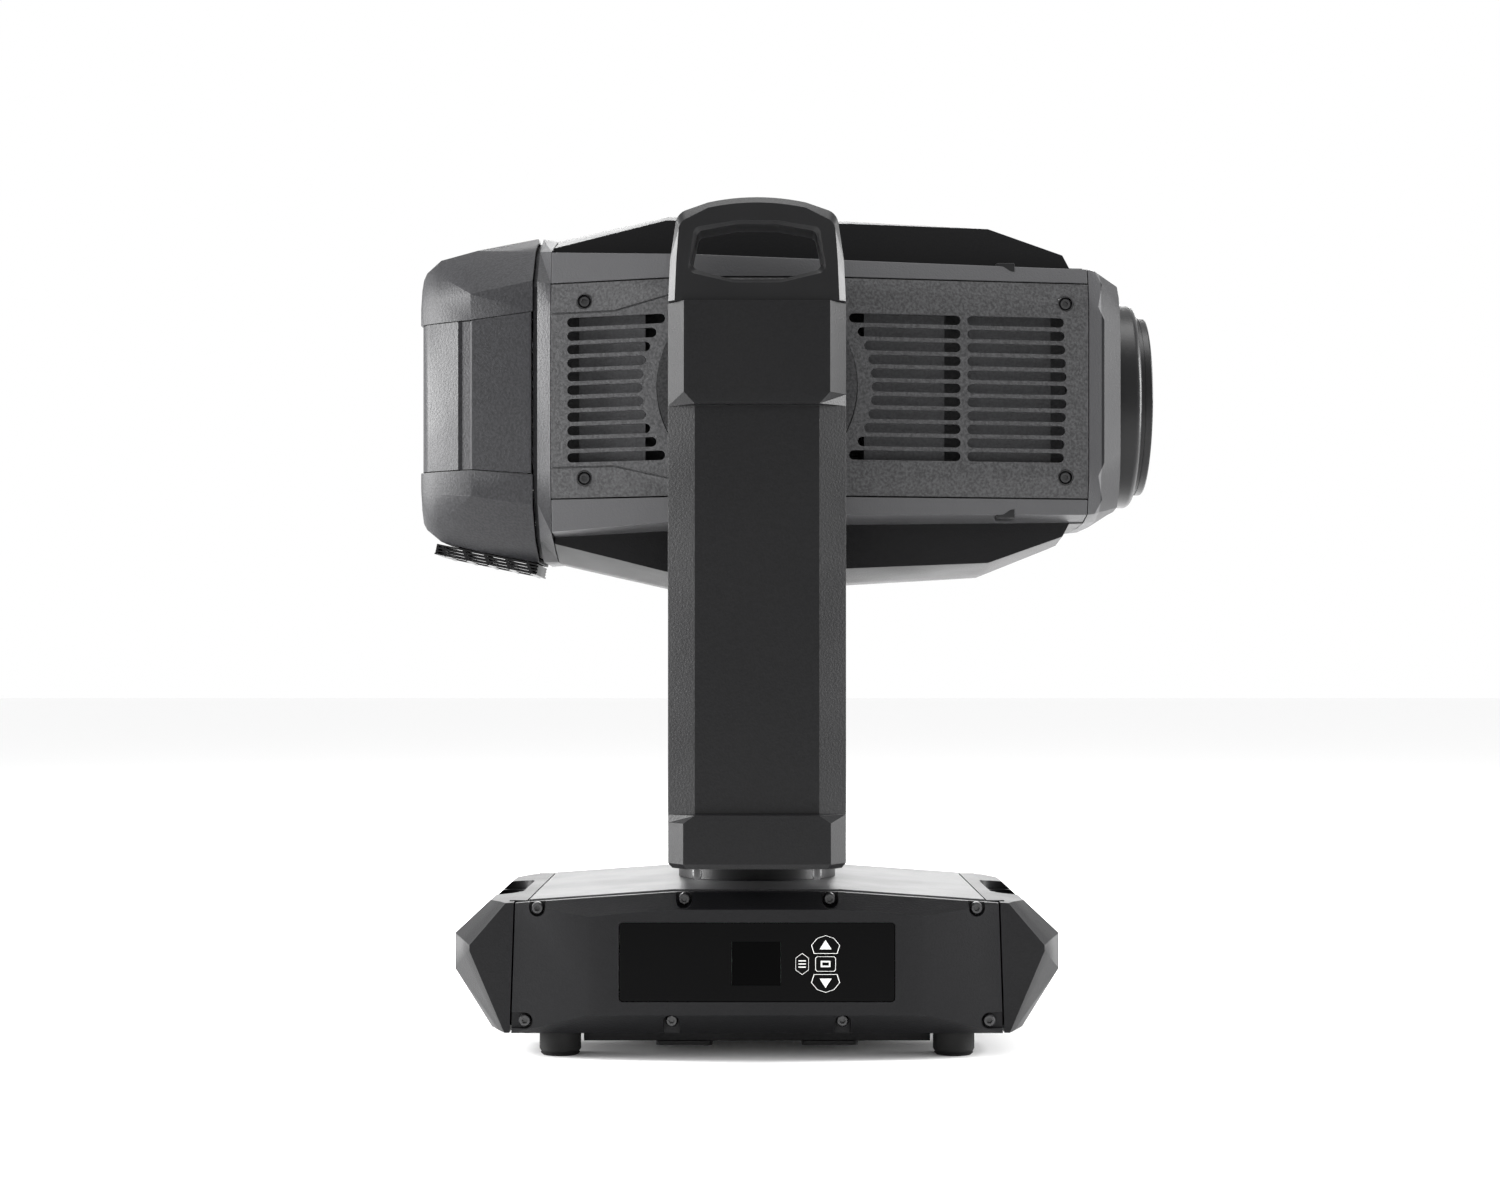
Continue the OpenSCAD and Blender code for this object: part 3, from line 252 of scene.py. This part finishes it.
def smooth_group():
    """Smooth shading everywhere but at edges sharper than SMOOTH_ANGLE."""
    group = bpy.data.node_groups.new("smooth_by_angle", "GeometryNodeTree")
    group.interface.new_socket("Geometry", in_out="INPUT", socket_type="NodeSocketGeometry")
    group.interface.new_socket("Geometry", in_out="OUTPUT", socket_type="NodeSocketGeometry")
    add = group.nodes.new
    start, end = add("NodeGroupInput"), add("NodeGroupOutput")
    faces, edges = add("GeometryNodeSetShadeSmooth"), add("GeometryNodeSetShadeSmooth")
    faces.domain, edges.domain = "FACE", "EDGE"
    edges.inputs["Shade Smooth"].default_value = False
    bend = add("GeometryNodeInputMeshEdgeAngle")
    sharp = add("FunctionNodeCompare")
    sharp.data_type, sharp.operation = "FLOAT", "GREATER_THAN"
    sharp.inputs["B"].default_value = SMOOTH_ANGLE
    link = group.links.new
    link(start.outputs[0], faces.inputs["Geometry"])
    link(faces.outputs[0], edges.inputs["Geometry"])
    link(bend.outputs["Unsigned Angle"], sharp.inputs["A"])
    link(sharp.outputs[0], edges.inputs["Selection"])
    link(edges.outputs[0], end.inputs[0])
    return group


SMOOTH = smooth_group()
WELD_DISTANCE = 0.02 * MM

# Bevel widths of the CAD nodes' edges, in mm; nodes that aren't here keep their edges
BEVEL_MM = {
    "side_cover_near": 0.7, "side_cover_far": 0.7, "head_top_cover": 1.3, "head_bottom_cover": 1.3,
    "rear_cap_top": 1.4, "rear_cap_bottom": 1.4, "rear_housing": 1.2, "front_bezel": 1.0, "tilt_hubs": 1.0,
    "handle_near": 1.6, "handle_far": 1.6, "arm_cover_near": 1.2, "arm_cover_far": 1.2,
    "yoke_base_cover": 1.5, "yoke_frame": 1.0, "end_cap_left": 2.0, "end_cap_right": 2.0,
    "front_panel": 1.2, "rear_panel": 1.2, "base_top_plate": 1.0,
    "base_screws": 0.3, "head_screws": 0.3, "arm_screws": 0.3,
}


def finish_edges(obj, bevel_mm):
    """Rounds sharp edges by a small bevel, with flat faces kept flat."""
    weld = obj.modifiers.new("weld", "WELD")
    weld.merge_threshold = WELD_DISTANCE
    if bevel_mm:
        bevel = obj.modifiers.new("edge", "BEVEL")
        bevel.width = bevel_mm * MM
        bevel.segments = 2
        bevel.limit_method = "ANGLE"
        bevel.angle_limit = BEVEL_ANGLE
        bevel.use_clamp_overlap = True
    shade = obj.modifiers.new("shade", "NODES")
    shade.node_group = SMOOTH
    obj.modifiers.new("flats", "WEIGHTED_NORMAL").keep_sharp = True


# Each CAD node's material and edges
for key, names in NODE_MATERIAL.items():
    for name in names:
        node = nodes[name]
        node.data.materials.clear()
        node.data.materials.append(MATERIALS[key])
        finish_edges(node, BEVEL_MM.get(name, 0))


# ---- Pieces in mesh code ----

def mesh_piece(name, body, material, build, bevel_mm=0.0):
    """A new piece from build(bm), in metres, riding on a body."""
    bm = bmesh.new()
    build(bm)
    bmesh.ops.recalc_face_normals(bm, faces=bm.faces)
    mesh = bpy.data.meshes.new(name)
    bm.to_mesh(mesh)
    bm.free()
    obj = bpy.data.objects.new(name, mesh)
    bpy.context.scene.collection.objects.link(obj)
    obj.data.materials.append(MATERIALS[material])
    finish_edges(obj, bevel_mm)
    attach(obj, body)


def prism(bm, low, high):
    """A closed solid between two outlines of equal length."""
    a = [bm.verts.new(p) for p in low]
    b = [bm.verts.new(p) for p in high]
    n = len(a)
    bm.faces.new(a[::-1])
    bm.faces.new(b)
    for i in range(n):
        j = (i + 1) % n
        bm.faces.new((a[i], a[j], b[j], b[i]))


def band(bm, outer, inner, low_y, high_y):
    """A flat closed band between two outlines in X and Z, from low_y to high_y."""
    rings = [[bm.verts.new((p[0], y, p[1])) for p in line]
             for line, y in ((outer, low_y), (outer, high_y), (inner, high_y), (inner, low_y))]
    n = len(outer)
    for k in range(4):
        r, s = rings[k], rings[(k + 1) % 4]
        for i in range(n):
            j = (i + 1) % n
            bm.faces.new((r[i], r[j], s[j], s[i]))


def lathe(bm, profile, steps=96):
    """Turns a closed profile of (x, radius) about the lens axis."""
    rings = []
    for k in range(steps):
        a = 2 * math.pi * k / steps
        rings.append([bm.verts.new((x, r * math.sin(a), TILT_Z + r * math.cos(a))) for x, r in profile])
    for k in range(steps):
        r, s = rings[k], rings[(k + 1) % steps]
        for i in range(len(profile)):
            j = (i + 1) % len(profile)
            bm.faces.new((r[i], r[j], s[j], s[i]))


# Keys: a white printed outline with a generic symbol on each, in mm about the key's middle. The
# print stands just proud of the key's face and reaches a little way into it.
PRINT_Y = KEY_Y - 0.06 * MM
PRINT_BACK_Y = KEY_Y + 0.2 * MM
OUTLINE_SCALES = (0.93, 0.885)  # the printed line's two edges, as parts of the key's outline
ARROW = [(0, 7), (6.5, 4.8), (11, -0.6), (9, -7), (-9, -7), (-11, -0.6), (-6.5, 4.8)]
MENU = [(0, 8.3), (5, 4.6), (5, -4.6), (0, -8.3), (-5, -4.6), (-5, 4.6)]
ENTER = [(-6.6, -5.7), (6.6, -5.7), (7.8, -4.5), (7.8, 4.5),
         (6.6, 5.7), (-6.6, 5.7), (-7.8, 4.5), (-7.8, -4.5)]


def centred(node):
    """The middle of a node's box in X and Z."""
    low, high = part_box(node)
    return (low[0] + high[0]) / 2, (low[2] + high[2]) / 2


def placed(points, centre, scale=1.0, flip=1):
    """Points in mm, scaled and set about a centre in X and Z; flip is -1 for upside down."""
    return [(centre[0] + x * MM * scale, centre[1] + flip * z * MM * scale) for x, z in points]


def print_key(key, outline, symbols, flip=1):
    """The print of one key: its outline and its symbols, riding on the key's body."""
    centre = centred("key_" + key)

    def build(bm):
        band(bm, *[placed(outline, centre, scale, flip) for scale in OUTLINE_SCALES], PRINT_Y, PRINT_BACK_Y)
        for shape in symbols:
            points = placed(shape, centre, 1.0, flip)
            prism(bm, *[[(x, y, z) for x, z in points] for y in (PRINT_Y, PRINT_BACK_Y)])

    mesh_piece("key_" + key + "_print", key + "_key", "print_white", build)


def bar(x0, z0, x1, z1):
    return [(x0, z0), (x1, z0), (x1, z1), (x0, z1)]


TRIANGLE = [(-4.2, -3.4), (4.2, -3.4), (0, 3.2)]
THREE_LINES = [bar(-2.6, z - 0.35, 2.6, z + 0.35) for z in (-2.2, 0, 2.2)]
OPEN_BOX = [bar(-3.4, 1.2, 3.4, 2.2), bar(-3.4, -2.2, 3.4, -1.2),
            bar(-3.4, -1.2, -2.4, 1.2), bar(2.4, -1.2, 3.4, 1.2)]
print_key("up", ARROW, [TRIANGLE])
print_key("down", ARROW, [TRIANGLE], -1)
print_key("menu", MENU, THREE_LINES)
print_key("enter", ENTER, OPEN_BOX)


# Head: the side runs from its rear edge to the flat middle, and on to its front edge, in mm
REAR_X, FLAT_FROM_X, FLAT_TO_X, FRONT_X = -151, -50, 50, 242
END_HALF_WIDTH, FULL_HALF_WIDTH = 116, 152


def half_width(x):
    """Half width of the head at x, in mm."""
    rise = FULL_HALF_WIDTH - END_HALF_WIDTH
    if x < FLAT_FROM_X:
        return END_HALF_WIDTH + rise * (x - REAR_X) / (FLAT_FROM_X - REAR_X)
    return FULL_HALF_WIDTH - rise * max(0, x - FLAT_TO_X) / (FRONT_X - FLAT_TO_X)


def seam_shade_strips(bm):
    """Painted shade: dark strips in the rubber material, set deep in the seams between the side covers and
    the top and bottom covers, standing in for the shade in the gaps.
    """
    seam_z, half_thickness = 78.3 * MM, 0.4 * MM
    outer_inset, inner_inset = 6.2, 12
    for side in SIGNS:
        for up in SIGNS:
            low, high = [TILT_Z + up * seam_z + s * half_thickness for s in SIGNS]
            rings = []
            for x in (-149, -103, -50, 50, 239):
                out, inn = [side * (half_width(x) - inset) * MM for inset in (outer_inset, inner_inset)]
                rings.append([(x * MM, y, z) for y, z in ((out, low), (out, high), (inn, high), (inn, low))])
            for a, b in zip(rings, rings[1:]):
                prism(bm, a, b)


# Painted shade: dark strips in the head's seams, where the gaps between the covers fall into shade.
mesh_piece("seam_shade_strips", "head", "rubber", seam_shade_strips)


def barrel_baffles(bm):
    """Ribbed black baffle inside the lens barrel, behind the front lens."""
    start_x, end_x = 0.2575, 0.2755
    back_r, wall_r, rib_r = 0.05985, 0.0595, 0.0560
    rib_pitch = 0.0026
    profile = [(start_x, wall_r)]
    for k in range(6):
        x = 0.2585 + k * rib_pitch
        profile += [(x, wall_r), (x + 0.0008, rib_r), (x + 0.0013, rib_r), (x + 0.0018, wall_r)]
    profile += [(end_x, wall_r), (end_x, back_r), (start_x, back_r)]
    lathe(bm, profile)


mesh_piece("barrel_baffles", "head", "barrel_black", barrel_baffles)


def cover_latches(bm):
    """Small latches at the edges of the top and bottom covers."""
    out = (half_width(180) - 9.6) * MM
    # Across the head, and up from the lens axis
    section = [(out + 0.0014, 0.0862), (out + 0.0006, 0.0925), (out - 0.014, 0.0938), (out - 0.014, 0.0862)]
    for side in SIGNS:
        for up in SIGNS:
            prism(bm, *[[(x, side * y, TILT_Z + up * z) for y, z in section] for x in (0.174, 0.187)])


mesh_piece("cover_latches", "head", "black_plastic", cover_latches, 0.5)


def grip_ribs(bm):
    """Raised ribs on the underside of each handle's bar."""
    rib_pitch, rib_height = 0.004, 0.0016
    foot, crest = 0.0008, 0.0005  # half widths of a rib
    for side in SIGNS:
        for k in range(-8, 9):
            x = k * rib_pitch
            z = 0.5874 - abs(x) * 0.02
            section = [(x - foot, z), (x + foot, z), (x + crest, z - rib_height), (x - crest, z - rib_height)]
            prism(bm, *[[(px, side * y, pz) for px, pz in section] for y in (0.1835, 0.2065)])


mesh_piece("grip_ribs", "yoke", "black_plastic", grip_ribs)


# ---- Floor, lights and camera ----

def stage_plane(half=30):
    """A pale floor that reaches half, in metres, each way from the origin."""
    mesh = bpy.data.meshes.new("floor")
    corners = [(-half, -half, 0), (half, -half, 0), (half, half, 0), (-half, half, 0)]
    mesh.from_pydata(corners, [], [(0, 1, 2, 3)])
    floor = bpy.data.objects.new("floor", mesh)
    bpy.context.scene.collection.objects.link(floor)
    mat = new_material("floor_pale", (0.94, 0.94, 0.94), 0.85)
    vary_rough(mat, noise(mat, 2.0), 0.8, 0.9)
    floor.data.materials.append(mat)


def area_light(name, place, target, size, power):
    """A white rectangular light at a place, in metres, that faces the target; power in watts."""
    data = bpy.data.lights.new(name, "AREA")
    data.shape = "RECTANGLE"
    data.size, data.size_y = size
    data.energy = power
    lamp = bpy.data.objects.new(name, data)
    lamp.location = place
    lamp.rotation_euler = (Vector(target) - Vector(place)).to_track_quat("-Z", "Y").to_euler()
    bpy.context.scene.collection.objects.link(lamp)


def add_camera(place, lens_mm, shift):
    """A level camera that looks along +Y."""
    camera = bpy.data.cameras.new("camera")
    camera.sensor_width = 36
    camera.lens = lens_mm
    camera.shift_x, camera.shift_y = shift
    camera.clip_end = 200
    eye = bpy.data.objects.new("camera", camera)
    eye.location = place
    eye.rotation_euler = (math.radians(90), 0, 0)
    bpy.context.scene.collection.objects.link(eye)
    bpy.context.scene.camera = eye


stage_plane()
world = bpy.data.worlds.new("studio")
bpy.context.scene.world = world
world.use_nodes = True
world.node_tree.nodes["Background"].inputs["Color"].default_value = (1, 1, 1, 1)
world.node_tree.nodes["Background"].inputs["Strength"].default_value = 1.0
area_light("left", (-3.0, 0.15, 0.9), (0, 0, 0.35), (0.9, 2.2), 330)
area_light("right", (3.0, 0.15, 0.9), (0, 0, 0.35), (0.9, 2.2), 230)
area_light("top", (0, -0.2, 2.6), (0, 0, 0.3), (2.0, 1.2), 60)
area_light("back", (0, 3.0, 1.6), (0, 0, 0.4), (2.4, 1.4), 60)

add_camera((0, -2.1, 0.2736), 65.52, (-0.00467, 0.05))
bpy.context.scene.view_settings.view_transform = "Standard"
